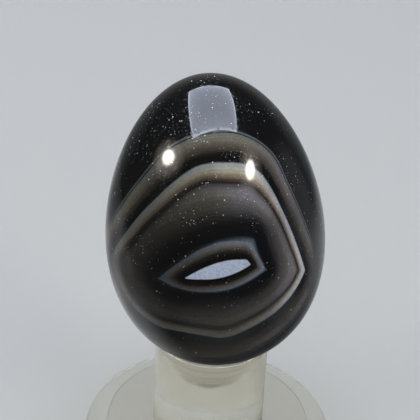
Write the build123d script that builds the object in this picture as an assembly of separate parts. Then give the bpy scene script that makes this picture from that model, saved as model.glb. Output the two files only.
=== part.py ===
"""Polished banded-stone egg resting loose on a two-piece clear acrylic stand.

Millimetres, +Z up, origin at the centre of the base's underside.
"""
import os
from math import cos, pi, radians, sqrt, tan

from build123d import *

# Base: a disc cut from sheet, with a wide polished bevel round its top
BASE_DIAMETER = 42.5
BASE_THICKNESS = 4.8
BEVEL_WIDTH = 3.8
BEVEL_HEIGHT = 1.4
FOOT_EDGE_BREAK = 0.3

# Column: a short length of round rod, cemented flat on the base and countersunk at the top
COLUMN_DIAMETER = 19.05
COLUMN_HEIGHT = 19.0
RIM_WIDTH = 0.5
RIM_EDGE_BREAK = 0.2
COUNTERSINK_ANGLE = 82.0
PILOT_DIAMETER = 6.35
PILOT_LENGTH = 0.8
DRILL_POINT_ANGLE = 118.0

# Egg: length, breadth, and how far its widest ring lies below the middle of its length
EGG_LENGTH = 50.2
EGG_BREADTH = 35.6
WIDEST_RING_DROP = 3.9
EGG_LEAN = 4.9
EGG_OUTLINE_SPANS = 16

# Clearance between the egg and the edge of the seat that carries it
SEAT_GAP = 0.15

# Places worked out from the sizes above
COLUMN_RADIUS = COLUMN_DIAMETER / 2
SEAT_RADIUS = COLUMN_RADIUS - RIM_WIDTH
RIM_HEIGHT = BASE_THICKNESS + COLUMN_HEIGHT


def egg_radius_squared(height):
    """Square of the egg's radius at a height measured from the middle of its length."""
    spread = EGG_LENGTH**2 + 8 * WIDEST_RING_DROP * height + 4 * WIDEST_RING_DROP**2
    return EGG_BREADTH**2 / 4 * (EGG_LENGTH**2 - 4 * height**2) / spread


def egg_seat():
    """Ball that touches the egg round the ring which the seat carries: centre height and radius.

    Heights are measured from the middle of the egg's length. The ring's height is the lower root of
    egg_radius_squared(height) = SEAT_RADIUS**2, and the egg's normals there meet at the ball's centre.
    """
    breadth_squared = EGG_BREADTH**2
    half_linear = 4 * WIDEST_RING_DROP * SEAT_RADIUS**2
    constant = breadth_squared * EGG_LENGTH**2 / 4
    constant -= SEAT_RADIUS**2 * (EGG_LENGTH**2 + 4 * WIDEST_RING_DROP**2)
    ring = -(half_linear + sqrt(half_linear**2 + breadth_squared * constant)) / breadth_squared

    spread = EGG_LENGTH**2 + 8 * WIDEST_RING_DROP * ring + 4 * WIDEST_RING_DROP**2
    cut = EGG_LENGTH**2 - 4 * ring**2
    to_centre = -breadth_squared * (ring * spread + WIDEST_RING_DROP * cut) / spread**2
    return ring + to_centre, sqrt(SEAT_RADIUS**2 + to_centre**2)


def agate_egg():
    """Egg turned from its outline curve, then leant over in its seat about the seat ball's centre."""
    outline = []
    for step in range(EGG_OUTLINE_SPANS + 1):
        height = -EGG_LENGTH / 2 * cos(pi * step / EGG_OUTLINE_SPANS)
        outline.append((sqrt(max(egg_radius_squared(height), 0.0)), height))
    with BuildPart() as egg:
        with BuildSketch(Plane.XZ):
            with BuildLine():
                Spline(*outline, tangents=((1, 0), (-1, 0)), tangent_scalars=(1, 1))
                Line(outline[-1], outline[0])
            make_face()
        revolve(axis=Axis.Z)

    ball_height, ball_radius = egg_seat()
    seated_height = RIM_HEIGHT + sqrt((ball_radius + SEAT_GAP)**2 - SEAT_RADIUS**2)
    centred = egg.part.moved(Location((0, 0, -ball_height)))
    return centred.moved(Location((0, 0, seated_height), (0, -EGG_LEAN, 0)))


def stand_column():
    """Rod with a broken outer rim edge and a countersunk, pilot-drilled seat in its top."""
    pilot_radius = PILOT_DIAMETER / 2
    cone_bottom = RIM_HEIGHT - (SEAT_RADIUS - pilot_radius) / tan(radians(COUNTERSINK_ANGLE / 2))
    pilot_bottom = cone_bottom - PILOT_LENGTH
    drill_tip = pilot_bottom - pilot_radius / tan(radians(DRILL_POINT_ANGLE / 2))
    with BuildPart() as column:
        with BuildSketch(Plane.XZ):
            with BuildLine():
                Polyline(
                    (0, BASE_THICKNESS),
                    (COLUMN_RADIUS, BASE_THICKNESS),
                    (COLUMN_RADIUS, RIM_HEIGHT - RIM_EDGE_BREAK),
                    (COLUMN_RADIUS - RIM_EDGE_BREAK, RIM_HEIGHT),
                    (SEAT_RADIUS, RIM_HEIGHT),
                    (pilot_radius, cone_bottom),
                    (pilot_radius, pilot_bottom),
                    (0, drill_tip),
                    close=True,
                )
            make_face()
        revolve(axis=Axis.Z)
    return column.part


def stand_base():
    """Disc with a wide bevel round its top face and a small broken edge round its foot."""
    radius = BASE_DIAMETER / 2
    with BuildPart() as base:
        with BuildSketch(Plane.XZ):
            with BuildLine():
                Polyline(
                    (0, 0),
                    (radius - FOOT_EDGE_BREAK, 0),
                    (radius, FOOT_EDGE_BREAK),
                    (radius, BASE_THICKNESS - BEVEL_HEIGHT),
                    (radius - BEVEL_WIDTH, BASE_THICKNESS),
                    (0, BASE_THICKNESS),
                    close=True,
                )
            make_face()
        revolve(axis=Axis.Z)
    return base.part


os.makedirs("parts", exist_ok=True)
export_step(agate_egg(), "parts/agate_egg.step")
export_step(stand_column(), "parts/stand_column.step")
export_step(stand_base(), "parts/stand_base.step")
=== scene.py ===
"""Looks for a polished banded-agate egg on a clear acrylic stand, laid out as a Blender add-on.

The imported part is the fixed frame. Metres, +Z up, origin at the centre of the base's underside.
"""
from math import atan2, cos, pi, radians, sin, tan

import bmesh
import bpy
import numpy as np
from bpy.props import FloatProperty, FloatVectorProperty, IntProperty, PointerProperty
from bpy.types import Operator, Panel, PropertyGroup
from mathutils import Matrix, Quaternion, Vector


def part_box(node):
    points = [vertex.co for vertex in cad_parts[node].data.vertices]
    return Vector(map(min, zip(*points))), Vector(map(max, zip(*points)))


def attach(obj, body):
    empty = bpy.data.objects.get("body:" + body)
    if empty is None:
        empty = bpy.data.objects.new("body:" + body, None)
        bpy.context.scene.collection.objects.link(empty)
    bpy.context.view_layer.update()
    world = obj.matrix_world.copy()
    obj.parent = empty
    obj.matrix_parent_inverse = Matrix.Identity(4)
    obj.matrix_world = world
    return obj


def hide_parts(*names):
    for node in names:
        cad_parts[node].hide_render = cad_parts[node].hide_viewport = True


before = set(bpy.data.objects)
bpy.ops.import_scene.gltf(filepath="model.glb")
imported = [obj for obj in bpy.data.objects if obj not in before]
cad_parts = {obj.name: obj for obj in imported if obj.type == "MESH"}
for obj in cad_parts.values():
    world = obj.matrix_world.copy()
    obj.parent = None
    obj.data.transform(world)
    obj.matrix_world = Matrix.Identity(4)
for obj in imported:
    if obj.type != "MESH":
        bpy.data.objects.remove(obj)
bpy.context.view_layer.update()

bl_info = {
    "name": "Agate egg on acrylic stand",
    "version": (1, 0, 0),
    "blender": (4, 5, 0),
    "location": "3D view > Sidebar > Agate egg",
    "description": "Builds a polished banded-agate egg, its clear acrylic stand and a pale studio stage",
    "category": "Object",
}

MM = 0.001
TINY = 1e-7
SMOOTH = {"interpolation_type": "SMOOTHSTEP"}
END_SWEEPS = 7


def linear(hex_colour):
    """An sRGB hex colour as linear red, green, blue and a full alpha."""
    channels = [int(hex_colour[i:i + 2], 16) / 255 for i in (1, 3, 5)]
    return tuple(c / 12.92 if c <= 0.04045 else ((c + 0.055) / 1.055) ** 2.4 for c in channels) + (1.0,)


def grey(share):
    """A colour with the same share of red, green and blue."""
    return (share, share, share, 1.0)


def per_metre(size_mm):
    """Texture scale that gives a pattern this size in millimetres."""
    return 1.0 / (size_mm * MM)


def egg_ends():
    """Foot and tip of the CAD egg, which are its two points that lie farthest apart."""
    points = np.array([vertex.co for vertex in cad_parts["agate_egg"].data.vertices])
    tip = points[points[:, 2].argmin()]
    for sweep in range(END_SWEEPS):
        foot, tip = tip, points[np.linalg.norm(points - tip, axis=1).argmax()]
    return sorted((Vector(foot), Vector(tip)), key=lambda end: end.z)


# Sizes that the frame gives
EGG_FOOT, EGG_TIP = egg_ends()
EGG_LOW, EGG_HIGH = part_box("agate_egg")
EGG_AXIS = EGG_TIP - EGG_FOOT
EGG_MIDDLE = (EGG_FOOT + EGG_TIP) / 2
COLUMN_LOW, COLUMN_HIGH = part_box("stand_column")
BASE_LOW, BASE_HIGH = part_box("stand_base")

# The egg's faces crowd together at the front and round the middle, where the bands are fine
FRONT_CROWDING = 0.5
MIDDLE_CROWDING = 0.35
EGG_INPUTS = {
    "Length": "NodeSocketFloat", "Breadth": "NodeSocketFloat", "Ring drop": "NodeSocketFloat",
    "Lean": "NodeSocketVector", "Middle": "NodeSocketVector", "Segments": "NodeSocketInt",
    "Rings": "NodeSocketInt",
}
# The egg's points from those of a unit ball: name, operation and terms, worked out in this order. Radius
# squared is breadth^2/4 * (length^2 - 4 h^2) / (length^2 + 8 drop h + 4 drop^2) at height h
EGG_FORMULA = (
    ("angle", "ARCTAN2", "Y", "X"), ("front", "COSINE", "angle"),
    ("turn", "MULTIPLY_ADD", "front", -FRONT_CROWDING, "angle"),
    ("climb", "ARCSINE", "Z"), ("double", "MULTIPLY", "climb", 2.0), ("bend", "SINE", "double"),
    ("rise", "MULTIPLY_ADD", "bend", -MIDDLE_CROWDING / 2, "climb"),
    ("half", "MULTIPLY", "Length", 0.5), ("up", "SINE", "rise"), ("height", "MULTIPLY", "up", "half"),
    ("slope", "MULTIPLY", "Ring drop", "height"), ("length square", "MULTIPLY", "Length", "Length"),
    ("spread", "MULTIPLY_ADD", "slope", 8.0, "length square"),
    ("drop square", "MULTIPLY", "Ring drop", "Ring drop"),
    ("spread", "MULTIPLY_ADD", "drop square", 4.0, "spread"), ("root", "SQRT", "spread"),
    ("wide", "MULTIPLY", "Breadth", "half"), ("reach", "DIVIDE", "wide", "root"),
    ("share", "COSINE", "rise"), ("out", "MULTIPLY", "share", "reach"),
    ("east", "COSINE", "turn"), ("right", "MULTIPLY", "east", "out"),
    ("north", "SINE", "turn"), ("back", "MULTIPLY", "north", "out"),
)

# The agate's rings, as they lie on the stone seen along the axis of its core: millimetres right of
# and above the egg's middle, with 1 at a sharp corner and 0 where the ring runs on smoothly
CORE_RING = ((-4.2, -9.2, 1), (-0.7, -7.1, 0), (2.1, -6.1, 0), (5.2, -5.8, 1), (5.8, -6.5, 1),
             (3.6, -7.9, 0), (0.8, -8.9, 0), (-2.0, -9.2, 0))
INNER_RING = ((-8.2, -9.5, 1), (-5.2, -6.9, 0), (-1.8, -4.5, 0), (1.8, -3.1, 0), (5.7, -3.1, 1),
              (8.1, -7.2, 1), (3.7, -10.1, 0), (0.2, -11.0, 0), (-3.9, -11.0, 0))
MIDDLE_RING = ((-16.1, -6.7, 1), (-14.5, -3.9, 0), (-10.1, 1.6, 0), (-3.8, 7.4, 0), (1.2, 8.6, 0),
               (5.8, 7.9, 0), (10.1, 2.0, 0), (14.5, -7.2, 1), (10.9, -13.3, 0), (4.4, -17.7, 0),
               (1.3, -18.4, 1), (-7.2, -17.4, 1), (-12.4, -14.3, 0), (-15.5, -9.1, 0))
OUTER_RING = ((-19.0, -7.0, 0), (-16.2, -1.0, 0), (-11.2, 6.3, 0), (-7.3, 10.7, 0), (-2.2, 13.0, 0),
              (3.0, 13.3, 0), (7.9, 10.8, 0), (10.8, 6.2, 0), (15.1, -2.2, 0), (16.4, -6.6, 0),
              (15.6, -11.5, 0), (11.5, -17.5, 0), (4.0, -22.0, 0), (-8.0, -22.0, 0), (-16.0, -16.5, 0))
RINGS = (CORE_RING, INNER_RING, MIDDLE_RING, OUTER_RING)
SPAN_STEPS = 12
CORE_AXIS_RISE = radians(32.4)
CORE_TOWARD = Vector((0.0, -cos(CORE_AXIS_RISE), sin(CORE_AXIS_RISE)))
CORE_UPWARD = Vector((0.0, sin(CORE_AXIS_RISE), cos(CORE_AXIS_RISE)))
# Millimetres to a growth level: into the core, outside the rings and behind the egg's middle
CORE_DEPTH = 2.0
OUTER_LEVEL_DEPTH = 5.0
BACK_LEVEL_DEPTH = 2.9

# Bands between the inner and the middle ring, by share of the way. From EASED_IN to EASED_OUT they lie
# smoother than those rings
EASED_IN = (0.0, 0.25)
EASED_OUT = (0.78, 0.58)
# The black one swells at a spot: its middle and spread in millimetres, its amount and where that fades
BULGE_MIDDLE, BULGE_SPREAD, BULGE_AMOUNT = (7.0, 0.3), 2.4, 0.17
BULGE_FADE = (0.78, 0.53)
# The pale one is thinner on the upper right, but for a broad spot
THIN_RIGHT = (3.0, 9.0)
THIN_UP = (-12.0, -7.0)
THIN_FADE = (0.55, 0.75)
THIN_AMOUNT = 0.2
BROAD_MIDDLE, BROAD_SPREAD = (1.5, 7.0), 3.0

# Growth level and colour of the bands. The core's edge is level 0, the inner ring 1, the middle ring 2
# and the outer ring 3, and the back of the stone goes on from there
INNER_BANDS = (
    (0.00, "#100e0c"), (0.30, "#12100e"), (0.50, "#36312b"), (0.68, "#68645f"), (0.84, "#767d88"),
    (0.94, "#76818c"), (1.00, "#3c434b"), (1.05, "#0d0e10"), (1.24, "#101011"), (1.34, "#242422"),
    (1.43, "#393836"), (1.56, "#4e4b43"), (1.68, "#605e59"), (1.735, "#4a4a48"), (1.785, "#1e1a16"),
    (1.82, "#3a332b"), (1.845, "#5e5447"), (1.89, "#837c6d"), (1.94, "#8f9087"), (1.98, "#80858a"),
    (2.00, "#53575a"), (2.02, "#0d0e0c"), (2.20, "#0c0d0b"),
)
OUTER_BANDS = (
    (2.20, "#0c0d0b"), (2.26, "#11100c"), (2.50, "#48423a"), (2.74, "#68645b"), (2.86, "#60645e"),
    (2.89, "#5a5e5e"), (2.91, "#2a2c2b"), (2.94, "#282a2a"), (2.96, "#545859"), (2.99, "#4c5052"),
    (3.02, "#0e0e0f"), (3.40, "#0b0b0c"), (5.30, "#0b0b0b"), (5.60, "#2b2825"), (5.80, "#6a655b"),
    (5.88, "#7d8183"), (5.92, "#131313"), (6.30, "#0f0f0f"), (6.50, "#3b3833"), (6.75, "#57544d"),
    (6.85, "#666a6d"), (6.89, "#121212"), (7.40, "#0e0e0e"), (7.90, "#2a2724"),
)
MIDDLE_BAND_START = 1.785
LINES_PER_LEVEL = 26.0
LINE_CONTRAST = (0.1, 0.4, 0.8, 1.2)
# Noise over the stone: size in millimetres, detail, and the values that it is stretched from and to
STONE_NOISE = {
    "band waver": (12.0, 2.0, (0.3, 0.7, -0.012, 0.012)),
    "spot waver": (9.0, 3.0, (0.3, 0.7, -3.0 * MM, 3.0 * MM)),
    "mottle": (0.6, 4.0, (0.0, 1.0, 0.0, 1.0)),
    "dust drifts": (5.0, 1.0, (0.42, 0.62, 0.05, 1.0)),
    "smears": (7.0, 4.0, (0.4, 0.75, 0.02, 0.07)),
}
# Cells over the stone, in millimetres: crystals of the core, grains of dust, and a film of finer ones,
# which are drawn coarser than real ones, so that they show
STONE_CELLS = {"crystals": 0.35, "large grains": 0.5, "small grains": 0.27, "film": 0.22}
# The bands pale along a way to the upper right, and round the spot where the right lamp glints, where the
# paler bands are a painted highlight
PALE_START = EGG_MIDDLE + CORE_UPWARD * -5.0 * MM
PALE_WAY = Vector((cos(radians(27)), 0.0, 0.0)) + CORE_UPWARD * sin(radians(27))
# Where the right lamp glints on the stone: the bands round it are painted lighter, a painted highlight
GLINT_SPOT = Vector((4.0, -13.2, 58.8)) * MM
# Fades over the stone: what each goes by, where it starts and where it is full, and its share at both
STONE_FADES = {
    "pale": ("along", -7.0 * MM, 11.0 * MM, 0.5, 1.53),
    # Painted highlight: the bands show stronger round the right lamp's glint
    "painted_gleam": ("away", 6.5 * MM, 2.0 * MM, 1.0, 1.8),
    "violet": ("away", 6.5 * MM, 1.5 * MM, 0.0, 1.0),
    "left": ("x", -14.0 * MM, 2.0 * MM, 0.55, 1.0),
    "right": ("x", 8.0 * MM, 12.0 * MM, 1.0, 0.4),
    "rim": ("x", -9.0 * MM, -15.0 * MM, 1.0, 2.0),
    "cool": ("x", 3.0 * MM, 10.0 * MM, 0.0, 0.8),
    "core": ("level", 0.03, -0.05, 0.0, 1.0),
}
# Share of the way over the right side, and share of the bands' strength there
RIGHT_SIDE_SPAN = (8.0 * MM, 17.0 * MM)
RIGHT_SIDE = ((0.0, 0.48), (0.1, 0.5), (0.3, 0.76), (0.5, 1.05), (0.68, 1.1), (0.8, 0.5), (0.95, 0.34))
WARM_TINT, COOL_TINT = "#fffdf3", "#efedff"
CRYSTAL_TONES = (1.2, 0.74)
# Dust: its cells, share of them with a grain, faintest and brightest grain
DUST_GRAINS = (("large grains", 0.75, 0.2, 1.0), ("small grains", 0.8, 0.05, 0.6))
DUST_COLOUR = "#e4e4e0"
DUST_HEIGHT = (40.0 * MM, 60.0 * MM, 0.08, 1.0)
GRAIN_MIDDLE = 0.03
GRAIN_REACH = (0.1, 0.27)
# Polish, and how dust and its film roughen it
AGATE_IOR = 1.54
DUST_ROUGHNESS = 0.6
FILM_FADE = (0.7, 1.0, 0.0, 0.25)

# Acrylic finishes, in the order of a stand piece's material slots. The three clear ones have their name,
# colour, roughness and clarity
POLISHED, CEMENTED, MACHINED, BUFFED_ROD, BUFFED_SHEET = range(5)
POLISHED_SHEET_LOOK = ("clear_acrylic_sheet_polished", "#fcfdfb", 0.08, 0.97)
BUFFED_ROD_LOOK = ("clear_acrylic_rod_buffed", "#eeeee6", 0.25, 0.83)
BUFFED_SHEET_LOOK = ("clear_acrylic_sheet_buffed", "#fcfdfb", 0.22, 0.93)
ACRYLIC_IOR = 1.49
SHADOW_TINT = "#fafaf8"
CEMENT_TINT = "#f2f1e5"
# Rings that the tool cut in the seat: share of the way up to its rim, and colour. The rim is whiter and
# less clear, a painted highlight along its edge
SEAT_DEPTH = 7.5 * MM
SEAT_RINGS = ((0.0, "#7d7972"), (0.1, "#bfbaae"), (0.2, "#837f78"), (0.26, "#c8c4b8"), (0.34, "#7c7871"),
              (0.4, "#d2cfc3"), (0.62, "#cdc9bd"), (0.66, "#827e76"), (0.7, "#d2cfc3"),
              (0.965, "#d6d4c8"), (0.975, "#ffffff"))
# Clarity of the seat, falling at the rim as part of its painted highlight
SEAT_CLARITY = (0.968, 0.975, 0.6, 0.1)
SEAT_ROUGHNESS = 0.3
# Turned edges: faces over a rounding, sharpest smooth edge, width of the darker line painted along the
# bevel's inner edge as its shade, and rounding of the seat's rim and of the hole as shares of the edge
# break
EDGE_STEPS = 4
SHARP_ANGLE = radians(25)
SHADE_LINE_WIDTH = 0.05 * MM
RIM_BREAK = 0.25
HOLE_BREAK = 0.5

# Stage sizes, in metres. The floor runs into the backdrop over FLOOR_FADE, and a share of it glows
FLOOR_RADIUS, FLOOR_SIDES = 2.5, 64
FLOOR_GAP = 0.05 * MM
FLOOR_FADE = (0.25, 0.8)
FLOOR_LIGHT = 1.38
FLOOR_GLOW = 0.3
BACKDROP = linear("#b9bdc0")
# The floor seen through the acrylic: its light, and its glow by distance from the stand, painted light that
# lifts the floor under and round the stand
UNDER_PAINTED_LIGHT = 1.75
UNDER_PAINTED_GLOW = (0.06, 0.015, 0.0, 0.5)
# The floor that the stone mirrors: how far it reaches, how far forward, and its light from front to back
MIRRORED_REACH = (0.2, 0.09)
MIRRORED_FRONT = (-0.13, -0.04)
MIRRORED_LIGHT = (0.0, 0.06, 0.08, 0.5)
MIRRORED_COLOUR = "#f2f6fb"
# Spots of it that are lighter, or darker below zero: middle, reach and strength, full at a third of that
MIRRORED_SPOTS = (((-0.036, 0.01, 0.0), 0.036, 0.43), ((-0.085, 0.012, 0.0), 0.034, 0.24),
                  ((-0.122, 0.033, 0.0), 0.04, 0.2), ((0.012, -0.055, 0.0), 0.05, 0.17),
                  ((0.06, -0.024, 0.0), 0.031, 0.22), ((-0.052, -0.019, 0.0), 0.03, 0.1),
                  ((-0.1, 0.072, 0.0), 0.055, -0.22))
ROOM_LIGHT = 0.04
# Parts of the dim room that are lighter, or darker below zero: direction, cosine where each starts and is
# full, and strength
ROOM_PARTS = (((-0.1, 0.85, -0.5), 0.3, 0.9, 0.21), ((0.967, 0.204, -0.153), 0.86, 0.98, 0.22),
              ((-0.68, 0.73, -0.1), 0.85, 0.97, -0.06))
PANEL_HEIGHT = 0.66
PANEL_CORNERS = ((-0.43, 0.53), (0.245, 0.57), (0.41, -0.235), (-0.375, -0.43))
CLOTH_CORNERS = ((0.0, 0.0), (1.0, 0.0), (1.0, 1.0), (0.0, 1.0))
PANEL_STRENGTH, PANEL_THROUGH_ACRYLIC = 5.6, 0.6
PANEL_COLOUR = "#e2ebff"
# The cloth is lighter towards its edges: share of the way out from its middle, and share of the strength
PANEL_SHADE = ((0.4, 0.95), (0.62, 1.02), (0.81, 1.14), (0.92, 1.26), (0.95, 1.95))
# Side lamps: place, turn about the way they face, and half their width and height
LAMPS = (((-0.517, -0.226, 0.295), radians(-21), (0.3, 0.15)),
         ((0.437, -0.318, 0.339), radians(-17), (0.25, 0.15)))
LAMP_SIDES = 32
# Glow over a lamp: share of the way out where it starts and where it is full, and its strength at both
LAMP_CORE = (0.4, 0.06, 0.0, 59.0)
LAMP_HALO = (1.0, 0.0, 0.0, 3.0)
LAMP_COLOUR = "#fff6ec"
FRAME_PIXELS, FOCAL_PIXELS = 420, 1500
SENSOR_MM = 36.0
NEAREST_SEEN = 10.0 * MM


class AgateEggSettings(PropertyGroup):
    """Shape of the egg and colours of its stone."""

    length: FloatProperty(name="Length", description="Foot to tip", default=EGG_AXIS.length, unit="LENGTH")
    breadth: FloatProperty(
        name="Breadth", description="Across the widest ring", default=EGG_HIGH.y - EGG_LOW.y, unit="LENGTH")
    ring_drop: FloatProperty(
        name="Widest ring drop", description="How far the widest ring lies below the middle",
        default=3.9 * MM, unit="LENGTH")
    lean: FloatProperty(
        name="Lean", description="Tilt of the axis towards -X in the seat",
        default=atan2(-EGG_AXIS.x, EGG_AXIS.z), unit="ROTATION")
    segments: IntProperty(name="Segments", description="Faces round the egg", default=400)
    rings: IntProperty(name="Rings", description="Faces from foot to tip", default=240)
    ground: FloatVectorProperty(
        name="Ground", description="Black stone between the bands", subtype="COLOR",
        default=linear("#0a0a0a")[:3])
    crystal: FloatVectorProperty(
        name="Core crystal", description="Bluish white quartz in the middle", subtype="COLOR",
        default=linear("#9ba4b4")[:3])


class StandSettings(PropertyGroup):
    """Machined shape of the acrylic stand."""

    rim_width: FloatProperty(name="Rim width", description="Flat left round the seat", default=0.5 * MM,
                             unit="LENGTH")
    seat_angle: FloatProperty(name="Seat angle", description="Countersink, side to side",
                              default=radians(82), unit="ROTATION")
    pilot_diameter: FloatProperty(name="Pilot hole", description="Drilled below the seat",
                                  default=6.35 * MM, unit="LENGTH")
    pilot_length: FloatProperty(name="Pilot length", description="Straight wall of the hole",
                                default=0.8 * MM, unit="LENGTH")
    point_angle: FloatProperty(name="Drill point", description="Cone at the bottom of the hole",
                               default=radians(118), unit="ROTATION")
    bevel_width: FloatProperty(name="Bevel width", description="Seen from above", default=3.8 * MM,
                               unit="LENGTH")
    bevel_height: FloatProperty(name="Bevel height", description="Drop of the bevel", default=1.4 * MM,
                                unit="LENGTH")
    edge_break: FloatProperty(name="Edge break", description="Polished round on the edges",
                              default=0.2 * MM, unit="LENGTH")
    foot_round: FloatProperty(name="Base round", description="Polished round on the base's bevel",
                              default=0.6 * MM, unit="LENGTH")
    segments: IntProperty(name="Segments", description="Faces round each piece", default=256)


class StageSettings(PropertyGroup):
    """Camera and floor."""

    view_rise: FloatProperty(name="View rise", description="Camera's angle above the floor",
                             default=radians(32.43), unit="ROTATION")
    view_roll: FloatProperty(name="View roll", description="Camera's turn about its own axis",
                             default=radians(3.04), unit="ROTATION")
    view_distance: FloatProperty(name="View distance", description="Camera to the aim point",
                                 default=240.6 * MM, unit="LENGTH")
    aim: FloatVectorProperty(name="Aim", description="Point in the middle of the view",
                             default=(-1.48 * MM, 0.0, 48.15 * MM), subtype="TRANSLATION", unit="LENGTH")
    floor_colour: FloatVectorProperty(name="Floor", description="Pale studio floor", subtype="COLOR",
                                      default=linear("#979792")[:3])


def add_node(tree, kind, inputs=(), stops=(), **settings):
    """Add a node with its settings and ramp stops, and set or link its inputs, by name or in order.

    A shader node's kind goes without its prefix. A node that is given as an input stands for its first
    output in use.
    """
    node = tree.nodes.new(kind if "Node" in kind else "ShaderNode" + kind)
    for name, value in settings.items():
        setattr(node, name, value)
    pairs = inputs.items() if isinstance(inputs, dict) else enumerate(inputs)
    for name, value in pairs:
        if isinstance(value, bpy.types.Node):
            value = next(output for output in value.outputs if output.enabled)
        if isinstance(value, bpy.types.NodeSocket):
            tree.links.new(value, node.inputs[name])
        else:
            node.inputs[name].default_value = value
    if stops:
        ramp = node.color_ramp.elements
        while len(ramp) < len(stops):
            ramp.new(1.0)
        for element, (place, colour) in zip(ramp, stops):
            element.position = place
            element.color = colour
    return node


def new_material(name):
    """A material with an empty node tree, and that tree."""
    material = bpy.data.materials.new(name)
    material.use_nodes = True
    material.node_tree.nodes.clear()
    return material, material.node_tree


def show(name, data):
    """A new object in the scene, for a mesh or a camera."""
    piece = bpy.data.objects.new(name, data)
    bpy.context.scene.collection.objects.link(piece)
    return piece


def stone_measures(tree):
    """What the stone's look depends on, by name: noise, cells, growth level, fades and bands.

    The growth level is stored on the mesh. It wavers slowly, as in stone grown from layers.
    """
    place = add_node(tree, "TexCoord").outputs["Object"]
    axes = add_node(tree, "SeparateXYZ", (place,)).outputs
    at = {"x": axes["X"], "z": axes["Z"]}
    for name, (size_mm, detail, spans) in STONE_NOISE.items():
        noise = add_node(tree, "TexNoise", {"Vector": place, "Scale": per_metre(size_mm), "Detail": detail})
        at[name] = add_node(tree, "MapRange", (noise, *spans))
    for name, size_mm in STONE_CELLS.items():
        at[name] = add_node(tree, "TexVoronoi", {"Vector": place, "Scale": per_metre(size_mm)})
    growth = add_node(tree, "Attribute", attribute_name="growth").outputs["Fac"]
    at["level"] = add_node(tree, "Math", (growth, at["band waver"]), operation="ADD")
    # Distance from the right lamp's glint, for the painted highlight and the violet tint round it
    away = add_node(tree, "VectorMath", (place, GLINT_SPOT), operation="DISTANCE")
    at["away"] = add_node(tree, "Math", (away, at["spot waver"]), operation="ADD")
    from_start = add_node(tree, "VectorMath", (place, PALE_START), operation="SUBTRACT")
    at["along"] = add_node(tree, "VectorMath", (from_start, PALE_WAY), operation="DOT_PRODUCT")
    for name, (measure, *fade) in STONE_FADES.items():
        at[name] = add_node(tree, "MapRange", (at[measure], *fade), **SMOOTH)
    for name, start in (("from middle band", MIDDLE_BAND_START), ("in outer bands", OUTER_BANDS[0][0])):
        at[name] = add_node(tree, "Math", (at["level"], start), operation="GREATER_THAN")
    return at


def band_colour(tree, at):
    """Colour of the bands by growth level, inner rings and then outer rings."""
    colours = []
    for bands in (INNER_BANDS, OUTER_BANDS):
        first, last = bands[0][0], bands[-1][0]
        share = add_node(tree, "MapRange", (at["level"], first, last))
        stops = [((level - first) / (last - first), linear(colour)) for level, colour in bands]
        colours.append(add_node(tree, "ValToRGB", (share,), stops))
    return add_node(tree, "Mix",
                    {"Factor": at["in outer bands"], "A": colours[0], "B": colours[1]}, data_type="RGBA")


def growth_lines(tree, at):
    """Fine growth lines, a few to the millimetre, that come and go under a fine mottle."""
    lines = add_node(tree, "Math", (at["level"], LINES_PER_LEVEL), operation="MULTIPLY")
    lines = add_node(tree, "TexNoise", {"W": lines, "Scale": 1.0, "Detail": 3.0}, noise_dimensions="1D")
    lines = add_node(tree, "Math", (lines, at["mottle"]), operation="MULTIPLY")
    return add_node(tree, "MapRange", (lines, *LINE_CONTRAST))


def band_strength(tree, at):
    """How the bands show: stronger to the upper right, changed at the sides, painted highlight at a glint.
    """
    side = add_node(tree, "MapRange", (at["x"], *RIGHT_SIDE_SPAN))
    side = add_node(tree, "ValToRGB", (side,), [(way, grey(share)) for way, share in RIGHT_SIDE])

    # The left fade holds inside the middle band alone, and the right fade and the rim for the outer bands
    inner = add_node(tree, "Math", (at["left"], at["from middle band"]), operation="MAXIMUM")
    outer = add_node(tree, "Math", (at["right"], at["rim"]), operation="MULTIPLY")
    outer = add_node(tree, "MapRange", (at["in outer bands"], 0.0, 1.0, 1.0, outer))
    strength = at["pale"]
    # The last factor is the painted highlight round the right lamp's glint
    for factor in (side, growth_lines(tree, at), inner, outer, at["painted_gleam"]):
        strength = add_node(tree, "Math", (strength, factor), operation="MULTIPLY")
    return strength


def stone_tint(tree, at):
    """The stone is faintly warm, cooler on the right, and faintly violet round the right lamp's glint."""
    violet = add_node(tree, "Math", (at["violet"], at["from middle band"]), operation="SUBTRACT",
                      use_clamp=True)
    cool = add_node(tree, "Math", (at["cool"], violet), operation="MAXIMUM")
    return add_node(tree, "Mix", {"Factor": cool, "A": linear(WARM_TINT), "B": linear(COOL_TINT)},
                    data_type="RGBA")


def crystal_core(tree, at, colour):
    """Colour of the sugary quartz crystals that fill the core."""
    tone = add_node(tree, "MapRange", (at["crystals"], 0.0, 1.0, *CRYSTAL_TONES))
    return add_node(tree, "VectorMath", {0: colour, "Scale": tone}, operation="SCALE")


def settled_dust(tree, at):
    """Fine dust, thickest on top, in drifts: each grain is a spot in a cell of its own."""
    settled = add_node(tree, "MapRange", (at["z"], *DUST_HEIGHT))
    settled = add_node(tree, "Math", (settled, at["dust drifts"]), operation="MULTIPLY")
    dust = 0.0
    for cells, amount, faintest, brightest in DUST_GRAINS:
        chance = add_node(tree, "SeparateColor", (at[cells].outputs["Color"],)).outputs
        share = add_node(tree, "Math", (settled, amount), operation="MULTIPLY")
        there = add_node(tree, "Math", (share, chance["Red"]), operation="GREATER_THAN")
        reach = add_node(tree, "MapRange", (chance["Green"], 0.0, 1.0, *GRAIN_REACH))
        bright = add_node(tree, "MapRange", (chance["Blue"], 0.0, 1.0, faintest, brightest))
        grains = add_node(tree, "MapRange", (at[cells], reach, GRAIN_MIDDLE), **SMOOTH)
        for factor in (there, bright):
            grains = add_node(tree, "Math", (grains, factor), operation="MULTIPLY")
        dust = add_node(tree, "Math", (grains, dust), operation="MAXIMUM")
    return dust


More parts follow.
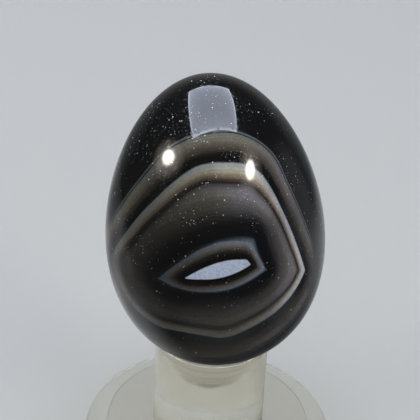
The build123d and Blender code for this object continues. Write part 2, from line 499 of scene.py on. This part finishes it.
def dulled_polish(tree, at, dust):
    """A mirror polish, dulled by dust, smears and a film of grains too fine to see but round a glint."""
    rough = add_node(tree, "Math", (dust, DUST_ROUGHNESS, at["smears"]), operation="MULTIPLY_ADD")
    chance = add_node(tree, "SeparateColor", (at["film"].outputs["Color"],)).outputs
    film = add_node(tree, "MapRange", (chance["Red"], *FILM_FADE))
    return add_node(tree, "Math", (rough, film), operation="MAXIMUM")


def polished_agate(look):
    """Black banded agate, tumbled and polished: dark glassy stone with soft-edged growth bands.

    The bands read the mesh's growth attribute, so that they follow the rings of the stone.
    """
    material, tree = new_material("black_banded_agate_polished")
    at = stone_measures(tree)
    stone = add_node(tree, "Mix",
                     {"Factor": band_strength(tree, at), "A": tuple(look.ground) + (1.0,),
                      "B": band_colour(tree, at)}, data_type="RGBA", clamp_factor=False)
    stone = add_node(tree, "Mix", {"Factor": 1.0, "A": stone, "B": stone_tint(tree, at)},
                     data_type="RGBA", blend_type="MULTIPLY")
    dust = settled_dust(tree, at)
    crystal = crystal_core(tree, at, tuple(look.crystal))
    for cover, colour in ((at["core"], crystal), (dust, linear(DUST_COLOUR))):
        stone = add_node(tree, "Mix", {"Factor": cover, "A": stone, "B": colour}, data_type="RGBA")
    rough = dulled_polish(tree, at, dust)
    shader = add_node(tree, "BsdfPrincipled", {"Base Color": stone, "IOR": AGATE_IOR, "Roughness": rough})
    add_node(tree, "OutputMaterial", {"Surface": shader})
    return material


def through_acrylic(tree, path):
    """1 for a ray that has come through acrylic."""
    return add_node(tree, "Math", (path["Transmission Depth"], 0.5), operation="GREATER_THAN")


def mirrored_by_stone(tree, path):
    """1 for a mirror ray that has not come through acrylic."""
    bare = add_node(tree, "Math", (path["Transmission Depth"], 0.5), operation="LESS_THAN")
    return add_node(tree, "Math", (path["Is Glossy Ray"], bare), operation="MULTIPLY")


def seen_by_camera(tree, path):
    """1 for a ray straight from the camera, or one that has come through acrylic."""
    return add_node(tree, "Math", (path["Is Camera Ray"], through_acrylic(tree, path)), operation="MAXIMUM")


def lamps_through(tree, glass):
    """Let lamps shine through an acrylic surface, and keep it out of the stone's mirror."""
    path = add_node(tree, "LightPath").outputs
    lamp_ray = add_node(tree, "Math", (path["Is Shadow Ray"], path["Is Diffuse Ray"]), operation="MAXIMUM")
    straight = add_node(tree, "Math", (lamp_ray, mirrored_by_stone(tree, path)), operation="MAXIMUM")
    through = add_node(tree, "BsdfTransparent", {"Color": linear(SHADOW_TINT)})
    mixed = add_node(tree, "MixShader", (straight, glass, through))
    add_node(tree, "OutputMaterial", {"Surface": mixed})


def clear_acrylic(name, colour, roughness, clarity):
    """Cast acrylic, clear and faintly olive: sharp to look through where polished, soft where buffed."""
    material, tree = new_material(name)
    glass = add_node(tree, "BsdfPrincipled",
                     {"Base Color": linear(colour), "IOR": ACRYLIC_IOR, "Roughness": roughness,
                      "Transmission Weight": clarity})
    lamps_through(tree, glass)
    return material


def machined_acrylic():
    """Cast acrylic as a countersink leaves it: cloudy, with fine rings that the tool cut."""
    material, tree = new_material("clear_acrylic_machined")
    place = add_node(tree, "TexCoord").outputs["Object"]
    height = add_node(tree, "SeparateXYZ", (place,)).outputs["Z"]
    height = add_node(tree, "MapRange", (height, COLUMN_HIGH.z - SEAT_DEPTH, COLUMN_HIGH.z))
    # The whiter, less clear rim at the top of the seat is a painted highlight
    colour = add_node(tree, "ValToRGB", (height,), [(share, linear(shade)) for share, shade in SEAT_RINGS])
    clarity = add_node(tree, "MapRange", (height, *SEAT_CLARITY))
    glass = add_node(tree, "BsdfPrincipled",
                     {"Base Color": colour, "IOR": ACRYLIC_IOR, "Roughness": SEAT_ROUGHNESS,
                      "Transmission Weight": clarity})
    lamps_through(tree, glass)
    return material


def cement_film():
    """Solvent-cemented joint: the two acrylic faces have run together, so nothing shows there."""
    material, tree = new_material("acrylic_solvent_cement")
    film = add_node(tree, "BsdfTransparent", {"Color": linear(CEMENT_TINT)})
    add_node(tree, "OutputMaterial", {"Surface": film})
    return material


def egg_tree(material):
    """Geometry Nodes tree that draws the egg from its length, breadth and widest ring."""
    tree = bpy.data.node_groups.new("egg_shape", "GeometryNodeTree")
    sockets = {name: tree.interface.new_socket(name, in_out="INPUT", socket_type=kind)
               for name, kind in EGG_INPUTS.items()}
    tree.interface.new_socket("Geometry", in_out="OUTPUT", socket_type="NodeSocketGeometry")
    given = add_node(tree, "NodeGroupInput").outputs
    ball = add_node(tree, "GeometryNodeMeshUVSphere",
                    {"Segments": given["Segments"], "Rings": given["Rings"], "Radius": 1.0})
    spot = add_node(tree, "GeometryNodeInputPosition")
    spot = add_node(tree, "SeparateXYZ", (spot,)).outputs
    values = {name: given[name] for name in EGG_INPUTS} | {axis: spot[axis] for axis in "XYZ"}
    for name, operation, *terms in EGG_FORMULA:
        terms = [values.get(term, term) for term in terms]
        values[name] = add_node(tree, "Math", terms, operation=operation)
    egg_spot = add_node(tree, "CombineXYZ", (values["right"], values["back"], values["height"]))
    shaped = add_node(tree, "GeometryNodeSetPosition", {"Geometry": ball, "Position": egg_spot})
    seated = add_node(tree, "GeometryNodeTransform",
                      {"Geometry": shaped, "Translation": given["Middle"], "Rotation": given["Lean"]})
    smooth = add_node(tree, "GeometryNodeSetShadeSmooth", {"Geometry": seated})
    real = add_node(tree, "GeometryNodeRealizeInstances", {"Geometry": smooth})
    stone = add_node(tree, "GeometryNodeSetMaterial", {"Geometry": real, "Material": material})
    add_node(tree, "NodeGroupOutput", (stone,))
    return tree, {name: socket.identifier for name, socket in sockets.items()}


def ring_outline(ring):
    """Closed outline through a ring's points: smooth runs, sharp at the corners."""
    spots = np.array([point[:2] for point in ring])
    corner = [point[2] for point in ring]
    ways = np.roll(spots, -1, axis=0) - np.roll(spots, 1, axis=0)
    ways /= np.linalg.norm(ways, axis=1)[:, None]
    share = np.linspace(0, 1, SPAN_STEPS, endpoint=False)[:, None]
    outline = []
    for here in range(len(ring)):
        there = (here + 1) % len(ring)
        chord = spots[there] - spots[here]
        leave, arrive = ways[here] * np.linalg.norm(chord), ways[there] * np.linalg.norm(chord)
        if corner[here] and corner[there]:
            leave = arrive = chord
        elif corner[here]:
            leave = 2 * chord - arrive
        elif corner[there]:
            arrive = 2 * chord - leave
        bend = leave + arrive - 2 * chord
        curve = leave + share * (3 * chord - 2 * leave - arrive + share * bend)
        outline.append(spots[here] + share * curve)
    return np.concatenate(outline)


def distance_out(spots, outline):
    """Distance of each spot from a closed outline, below zero inside it, and a smooth stand-in for it.

    The stand-in adds up how near all of the outline lies, so it has no creases off its corners.
    """
    nearest = np.full(len(spots), np.inf)
    nearness = np.zeros(len(spots))
    inside = np.zeros(len(spots), bool)
    for start, end in zip(outline, np.roll(outline, -1, axis=0)):
        run = end - start
        share = np.clip((spots - start) @ run / (run @ run), 0, 1)
        away = np.linalg.norm(spots - start - share[:, None] * run, axis=1)
        nearest = np.minimum(nearest, away)
        nearness += np.linalg.norm(run) / np.maximum(away, 1e-3)**4
        spans = (start[1] > spots[:, 1]) != (end[1] > spots[:, 1])
        if run[1]:
            inside ^= spans & (spots[:, 0] < start[0] + (spots[:, 1] - start[1]) * run[0] / run[1])
    return np.where(inside, -nearest, nearest), nearness**(-1 / 3)


def swell(spots, middle, spread):
    """Bell curve over the rings' plane: 1 at its middle, falling off over its spread in millimetres."""
    away = np.linalg.norm(spots - np.array(middle), axis=1)
    return np.exp(-away**2 / (2 * spread**2))


def climb(values, start, full):
    """Share of the way from a start to where it is full, held between 0 and 1."""
    return np.clip((values - start) / (full - start), 0, 1)


def middle_shares(spots, between, smooth):
    """Share of the way from the inner to the middle ring, as the bands there lie, from the plain share."""
    eased = climb(between, *EASED_IN) * climb(between, *EASED_OUT)
    between = between + eased * (smooth - between)
    bulge = BULGE_AMOUNT * swell(spots, BULGE_MIDDLE, BULGE_SPREAD)
    between = between - bulge * climb(between, *BULGE_FADE)
    thin = climb(spots[:, 0], *THIN_RIGHT) * climb(spots[:, 1], *THIN_UP)
    thin -= swell(spots, BROAD_MIDDLE, BROAD_SPREAD)
    return between - THIN_AMOUNT * thin * climb(between, *THIN_FADE) * (1 - between)


def growth_levels(points):
    """Growth level of the stone at points on the egg: 0 at the core's edge, 1, 2, 3 at the rings.

    Seen along the core's axis the levels follow the rings. Behind the egg's middle they close round it.
    """
    from_middle = (points - np.array(EGG_MIDDLE)) / MM
    spots = np.stack((from_middle[:, 0], from_middle @ np.array(CORE_UPWARD)), axis=1)
    behind = np.maximum(-from_middle @ np.array(CORE_TOWARD), 0.0)
    out, smooth = zip(*(distance_out(spots, ring_outline(ring)) for ring in RINGS))
    level = np.where(out[0] < 0, out[0] / CORE_DEPTH, 0.0)
    for number in range(len(RINGS) - 1):
        between = np.clip(out[number] / np.maximum(out[number] - out[number + 1], TINY), 0, 1)
        if RINGS[number] is INNER_RING:
            between = middle_shares(spots, between, smooth[number] / (smooth[number] + smooth[number + 1]))
        level = np.where(out[number] > 0, number + between, level)
    level = np.where(out[-1] > 0, len(RINGS) - 1 + out[-1] / OUTER_LEVEL_DEPTH, level)
    return level + behind / BACK_LEVEL_DEPTH


def eased_profile(corners):
    """Turned profile with its corners rounded: each corner is radius out, height and rounding."""
    profile = []
    for number, (out, height, rounding) in enumerate(corners):
        here = Vector((out, height))
        if not rounding:
            profile.append(here)
            continue
        back = (Vector(corners[number - 1][:2]) - here).normalized()
        on = (Vector(corners[number + 1][:2]) - here).normalized()
        half = back.angle(on) / 2
        middle = here + (back + on).normalized() * rounding / sin(half)
        first = here + back * rounding / tan(half) - middle
        turn = (pi - 2 * half) * (1 if back.x * on.y - back.y * on.x < 0 else -1)
        for step in range(EDGE_STEPS + 1):
            profile.append(middle + Matrix.Rotation(turn * step / EDGE_STEPS, 2) @ first)
    return profile


def column_profile(cut):
    """Column from the middle of its foot, up its side and down its seat to the drill's point."""
    seat_radius, pilot_radius = COLUMN_HIGH.x - cut.rim_width, cut.pilot_diameter / 2
    cone_bottom = COLUMN_HIGH.z - (seat_radius - pilot_radius) / tan(cut.seat_angle / 2)
    pilot_bottom = cone_bottom - cut.pilot_length
    drill_tip = pilot_bottom - pilot_radius / tan(cut.point_angle / 2)
    hole_round = cut.edge_break * HOLE_BREAK
    return eased_profile((
        (0.0, COLUMN_LOW.z, 0), (COLUMN_HIGH.x, COLUMN_LOW.z, 0),
        (COLUMN_HIGH.x, COLUMN_HIGH.z, cut.edge_break),
        (seat_radius, COLUMN_HIGH.z, cut.edge_break * RIM_BREAK),
        (pilot_radius, cone_bottom, hole_round), (pilot_radius, pilot_bottom, hole_round),
        (0.0, drill_tip, 0),
    ))


def base_profile(cut):
    """Base from the middle of its underside, up over its bevel to the middle of its top."""
    return eased_profile((
        (0.0, BASE_LOW.z, 0), (BASE_HIGH.x, BASE_LOW.z, cut.edge_break),
        (BASE_HIGH.x, BASE_HIGH.z - cut.bevel_height, cut.foot_round),
        (BASE_HIGH.x - cut.bevel_width, BASE_HIGH.z, cut.foot_round),
        (COLUMN_HIGH.x, BASE_HIGH.z, 0), (0.0, BASE_HIGH.z, 0),
    ))


def finish_of(start, end, bevel_edge):
    """Which acrylic finish a turned face has, from the two points of the profile that it lies between."""
    out, height = (start + end) / 2
    if abs(height - BASE_HIGH.z) < TINY and out < COLUMN_HIGH.x:
        return CEMENTED
    if height > BASE_HIGH.z:
        return BUFFED_ROD if out > COLUMN_HIGH.x - TINY else MACHINED
    # A thin band of the darker machined finish along the bevel's inner edge: painted shade, where that edge
    # shows dark
    if abs(out - bevel_edge) < SHADE_LINE_WIDTH and BASE_HIGH.z - SHADE_LINE_WIDTH < height < BASE_HIGH.z:
        return MACHINED
    return BUFFED_SHEET if out > bevel_edge and height > BASE_LOW.z else POLISHED


def turned_mesh(name, profile, cut, materials):
    """Mesh of a profile turned about Z, from the axis round to the axis again."""
    shape = bmesh.new()
    angles = [2 * pi * step / cut.segments for step in range(cut.segments)]
    rows = []
    for out, height in profile:
        around = angles if out > TINY else angles[:1]
        rows.append([shape.verts.new((out * cos(angle), out * sin(angle), height)) for angle in around])
    for number, (low, high) in enumerate(zip(rows, rows[1:])):
        finish = finish_of(profile[number], profile[number + 1], BASE_HIGH.x - cut.bevel_width)
        for step in range(cut.segments):
            ahead = (step + 1) % cut.segments
            corners = (low[step % len(low)], low[ahead % len(low)],
                       high[ahead % len(high)], high[step % len(high)])
            # A row on the axis is one point, so its faces are triangles
            face = shape.faces.new(tuple(dict.fromkeys(corners)))
            face.material_index = finish
            face.smooth = True
    bmesh.ops.recalc_face_normals(shape, faces=shape.faces[:])
    mesh = bpy.data.meshes.new(name)
    shape.to_mesh(mesh)
    shape.free()
    for material in materials:
        mesh.materials.append(material)
    mesh.set_sharp_from_angle(angle=SHARP_ANGLE)
    return mesh


class EGGSTAND_OT_agate_egg(Operator):
    """Make the polished egg with its agate bands"""

    bl_idname = "egg_stand.agate_egg"
    bl_label = "Agate egg"

    def execute(self, context):
        look = context.scene.agate_egg
        tree, identifiers = egg_tree(polished_agate(look))
        holder = show("egg_holder", bpy.data.meshes.new("egg_holder"))
        modifier = holder.modifiers.new("Egg shape", "NODES")
        modifier.node_group = tree
        values = {"Length": look.length, "Breadth": look.breadth, "Ring drop": look.ring_drop,
                  "Lean": (0.0, -look.lean, 0.0), "Middle": EGG_MIDDLE, "Segments": look.segments,
                  "Rings": look.rings}
        for name, value in values.items():
            modifier[identifiers[name]] = value
        evaluated = holder.evaluated_get(context.evaluated_depsgraph_get())
        mesh = bpy.data.meshes.new_from_object(evaluated)
        bpy.data.objects.remove(holder)

        points = np.empty(len(mesh.vertices) * 3)
        mesh.vertices.foreach_get("co", points)
        growth = mesh.attributes.new("growth", "FLOAT", "POINT")
        growth.data.foreach_set("value", growth_levels(points.reshape(-1, 3)))
        mesh.name = "polished_egg"
        egg = show("polished_egg", mesh)
        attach(egg, "egg")
        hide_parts("agate_egg")
        return {"FINISHED"}


class EGGSTAND_OT_stand(Operator):
    """Make the clear column with its seat, and the bevelled base under it"""

    bl_idname = "egg_stand.stand"
    bl_label = "Acrylic stand"

    def execute(self, context):
        cut = context.scene.egg_stand
        materials = (clear_acrylic(*POLISHED_SHEET_LOOK), cement_film(), machined_acrylic(),
                     clear_acrylic(*BUFFED_ROD_LOOK), clear_acrylic(*BUFFED_SHEET_LOOK))
        for name, node, profile in (("seat_column", "stand_column", column_profile(cut)),
                                    ("bevelled_base", "stand_base", base_profile(cut))):
            piece = show(name, turned_mesh(name, profile, cut, materials))
            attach(piece, "stand")
            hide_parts(node)
        return {"FINISHED"}


def room_light(tree, way):
    """Brightness of the dim room in a direction: lighter low down at the back and on the right."""
    way = add_node(tree, "VectorMath", (way,), operation="NORMALIZE")
    light = ROOM_LIGHT
    for toward, edge, full, strength in ROOM_PARTS:
        near = add_node(tree, "VectorMath", (way, toward), operation="DOT_PRODUCT")
        part = add_node(tree, "MapRange", (near, edge, full, 0.0, strength), **SMOOTH)
        light = add_node(tree, "Math", (part, light), operation="ADD")
    return light


def seen_floor(tree, path, away, colour):
    """The floor as the camera sees it, and through the acrylic. Far off, it runs into the backdrop."""
    through = through_acrylic(tree, path)
    light = add_node(tree, "MapRange", (through, 0.0, 1.0, FLOOR_LIGHT, UNDER_PAINTED_LIGHT))
    matt = add_node(tree, "BsdfDiffuse", {"Color": colour})
    glow = add_node(tree, "Emission", {"Color": colour, "Strength": light})
    # Painted light: seen through the acrylic, the floor near the stand glows
    under = add_node(tree, "MapRange", (away, *UNDER_PAINTED_GLOW), **SMOOTH)
    share = add_node(tree, "Math", (path["Is Camera Ray"], FLOOR_GLOW), operation="MULTIPLY")
    share = add_node(tree, "Math", (through, under, share), operation="MULTIPLY_ADD")
    lit = add_node(tree, "MixShader", (share, matt, glow))
    far = add_node(tree, "MapRange", (away, *FLOOR_FADE), **SMOOTH)
    far = add_node(tree, "Math", (far, seen_by_camera(tree, path)), operation="MULTIPLY")
    backdrop = add_node(tree, "Emission", {"Color": BACKDROP})
    return add_node(tree, "MixShader", (far, lit, backdrop))


def mirrored_floor(tree, place, away):
    """The floor as the stone mirrors it: a dim patch round the stand, and the room beyond."""
    forward = add_node(tree, "SeparateXYZ", (place,)).outputs["Y"]
    near = add_node(tree, "MapRange", (away, *MIRRORED_REACH), **SMOOTH)
    front = add_node(tree, "MapRange", (forward, *MIRRORED_FRONT), **SMOOTH)
    patch = add_node(tree, "Math", (near, front), operation="MULTIPLY")
    light = add_node(tree, "MapRange", (forward, *MIRRORED_LIGHT), **SMOOTH)
    for middle, reach, strength in MIRRORED_SPOTS:
        off = add_node(tree, "VectorMath", (place, middle), operation="DISTANCE")
        spot = add_node(tree, "MapRange", (off, reach, reach / 3, 0.0, strength), **SMOOTH)
        light = add_node(tree, "Math", (spot, light), operation="ADD")
    dim = add_node(tree, "MapRange", (patch, 0.0, 1.0, room_light(tree, place), light))
    return add_node(tree, "Emission", {"Color": linear(MIRRORED_COLOUR), "Strength": dim})


def floor_paint(colour):
    """Matt pale floor that keeps a soft shadow. The polished stone mirrors a dimmer one."""
    material, tree = new_material("matt_studio_floor")
    path = add_node(tree, "LightPath").outputs
    place = add_node(tree, "TexCoord").outputs["Object"]
    away = add_node(tree, "VectorMath", (place,), operation="LENGTH")
    mixed = add_node(tree, "MixShader",
                     (mirrored_by_stone(tree, path), seen_floor(tree, path, away, colour),
                      mirrored_floor(tree, place, away)))
    add_node(tree, "OutputMaterial", {"Surface": mixed})
    return material


def panel_light():
    """Overhead softbox cloth, lit from behind."""
    material, tree = new_material("softbox_cloth")
    # Share of the way out from the cloth's middle to its edge
    spot = add_node(tree, "UVMap", uv_map="cloth")
    spot = add_node(tree, "VectorMath", (spot, (0.5, 0.5, 0.0)), operation="SUBTRACT")
    spot = add_node(tree, "VectorMath", (spot,), operation="ABSOLUTE")
    spot = add_node(tree, "SeparateXYZ", (spot,)).outputs
    edge = add_node(tree, "Math", (spot["X"], spot["Y"]), operation="MAXIMUM")
    edge = add_node(tree, "Math", (edge, 2.0), operation="MULTIPLY")
    shade = add_node(tree, "ValToRGB", (edge,), [(out, grey(share)) for out, share in PANEL_SHADE])
    strength = add_node(tree, "Math", (shade, PANEL_STRENGTH), operation="MULTIPLY")
    through = through_acrylic(tree, add_node(tree, "LightPath").outputs)
    strength = add_node(tree, "MapRange", (through, 0.0, 1.0, strength, PANEL_THROUGH_ACRYLIC))
    glow = add_node(tree, "Emission", {"Color": linear(PANEL_COLOUR), "Strength": strength})
    add_node(tree, "OutputMaterial", {"Surface": glow})
    return material


def lamp_glow():
    """Side lamp behind cloth: a bright round middle with a soft halo."""
    material, tree = new_material("side_lamp_cloth")
    place = add_node(tree, "TexCoord").outputs["Object"]
    out = add_node(tree, "VectorMath", (place,), operation="LENGTH")
    core, halo = (add_node(tree, "MapRange", (out, *fade), **SMOOTH) for fade in (LAMP_CORE, LAMP_HALO))
    strength = add_node(tree, "Math", (core, halo), operation="ADD")
    glow = add_node(tree, "Emission", {"Color": linear(LAMP_COLOUR), "Strength": strength})
    add_node(tree, "OutputMaterial", {"Surface": glow})
    return material


def round_sheet(name, radius, sides, material):
    """A flat round sheet in the scene."""
    shape = bmesh.new()
    bmesh.ops.create_circle(shape, cap_ends=True, radius=radius, segments=sides)
    mesh = bpy.data.meshes.new(name)
    shape.to_mesh(mesh)
    shape.free()
    mesh.materials.append(material)
    return show(name, mesh)


def softbox():
    """The overhead softbox, with a map of its cloth from corner to corner."""
    mesh = bpy.data.meshes.new("overhead_panel")
    mesh.from_pydata([(x, y, PANEL_HEIGHT) for x, y in PANEL_CORNERS], [], [(0, 1, 2, 3)])
    cloth = mesh.uv_layers.new(name="cloth")
    for loop, spot in zip(cloth.data, CLOTH_CORNERS):
        loop.uv = spot
    mesh.materials.append(panel_light())
    return show("overhead_panel", mesh)


def side_lamps():
    """The two side lamps, which face the egg."""
    glow = lamp_glow()
    lamps = []
    for number, (place, turn, half_size) in enumerate(LAMPS):
        lamp = round_sheet(f"side_lamp_{number + 1}", 1.0, LAMP_SIDES, glow)
        lamp.location = place
        facing = (EGG_MIDDLE - Vector(place)).to_track_quat("Z", "Y")
        lamp.rotation_euler = (facing @ Quaternion((0.0, 0.0, 1.0), turn)).to_euler()
        lamp.scale = (*half_size, 1.0)
        lamps.append(lamp)
    return lamps


def dim_room():
    """World that shows the camera a pale backdrop, and the stone a dim room."""
    room = bpy.data.worlds.new("dim_room")
    room.use_nodes = True
    tree = room.node_tree
    tree.nodes.clear()
    path = add_node(tree, "LightPath").outputs
    light = room_light(tree, add_node(tree, "TexCoord").outputs["Generated"])
    colour = add_node(tree, "Mix",
                      {"Factor": seen_by_camera(tree, path), "A": light, "B": BACKDROP}, data_type="RGBA")
    back = add_node(tree, "Background", {"Color": colour})
    add_node(tree, "OutputWorld", {"Surface": back})
    return room


def view_camera(stage):
    """Camera at the photograph's viewing angle."""
    lens = bpy.data.cameras.new("view")
    lens.sensor_width = SENSOR_MM
    lens.lens = SENSOR_MM * FOCAL_PIXELS / FRAME_PIXELS
    lens.clip_start = NEAREST_SEEN
    camera = show("view", lens)
    back_up = Vector((0.0, -cos(stage.view_rise), sin(stage.view_rise))) * stage.view_distance
    camera.location = Vector(stage.aim) + back_up
    turned = (-back_up).to_track_quat("-Z", "Y") @ Quaternion((0.0, 0.0, 1.0), stage.view_roll)
    camera.rotation_euler = turned.to_euler()
    return camera


class EGGSTAND_OT_stage(Operator):
    """Set the floor, the lights and the camera"""

    bl_idname = "egg_stand.stage"
    bl_label = "Studio stage"

    def execute(self, context):
        scene, stage = context.scene, context.scene.egg_stage
        paint = floor_paint(tuple(stage.floor_colour) + (1.0,))
        floor = round_sheet("studio_floor", FLOOR_RADIUS, FLOOR_SIDES, paint)
        floor.location.z = -FLOOR_GAP
        for sheet in (floor, softbox(), *side_lamps()):
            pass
        scene.world = dim_room()
        scene.camera = view_camera(stage)
        scene.view_settings.view_transform = "Standard"
        return {"FINISHED"}


class EGGSTAND_PT_sidebar(Panel):
    """Sidebar page that lists the pieces and their settings"""

    bl_label = "Agate egg on stand"
    bl_idname = "EGGSTAND_PT_sidebar"
    bl_space_type = "VIEW_3D"
    bl_region_type = "UI"
    bl_category = "Agate egg"

    def draw(self, context):
        for operator, name in zip(OPERATORS, SETTINGS):
            box = self.layout.box()
            box.operator(operator.bl_idname)
            for setting in SETTINGS[name].__annotations__:
                box.prop(getattr(context.scene, name), setting)


SETTINGS = {"agate_egg": AgateEggSettings, "egg_stand": StandSettings, "egg_stage": StageSettings}
OPERATORS = (EGGSTAND_OT_agate_egg, EGGSTAND_OT_stand, EGGSTAND_OT_stage)
CLASSES = (*SETTINGS.values(), *OPERATORS, EGGSTAND_PT_sidebar)


def register():
    """Add the classes and the scene's settings."""
    for kind in CLASSES:
        bpy.utils.register_class(kind)
    for name, group in SETTINGS.items():
        setattr(bpy.types.Scene, name, PointerProperty(type=group))


def unregister():
    """Take the settings and the classes away again."""
    for name in SETTINGS:
        delattr(bpy.types.Scene, name)
    for kind in reversed(CLASSES):
        bpy.utils.unregister_class(kind)


def main():
    """Build the egg, the stand and the stage."""
    register()
    bpy.ops.egg_stand.agate_egg()
    bpy.ops.egg_stand.stand()
    bpy.ops.egg_stand.stage()


if __name__ == "__main__":
    main()
